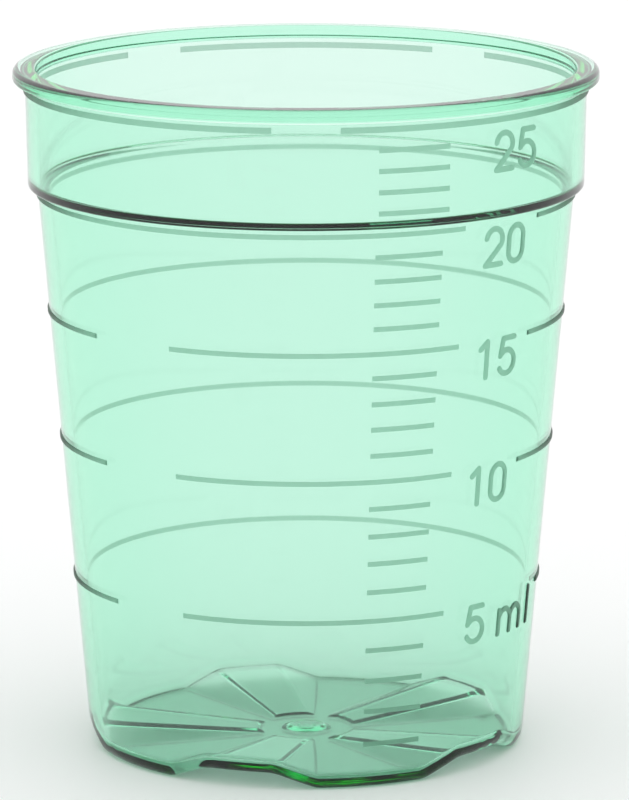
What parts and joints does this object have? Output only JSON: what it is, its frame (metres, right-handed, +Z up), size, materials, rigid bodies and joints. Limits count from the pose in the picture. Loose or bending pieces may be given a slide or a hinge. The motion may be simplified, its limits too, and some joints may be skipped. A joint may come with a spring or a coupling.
{
  "type": "medicine cup",
  "caption": "Small one-piece tapered medicine cup of clear green plastic, graduated in millilitres, with a stepped upper band, a flared lip and raised channels under its floor.",
  "frame": {"origin": "middle of the cup's footprint, on the plane that its feet stand on", "axes": "+Z up along the cup's axis, out of its mouth; -Y is the front that the picture looks at, with the graduation ladder and the numerals right of the front, towards +X"},
  "size_m": [0.035, 0.035, 0.0411],
  "materials": {
    "cup": "clear pale green moulded plastic, polished, with frosted graduation marks"
  },
  "bodies": {
    "root": {"cup": "cup"}
  },
  "joints": []
}
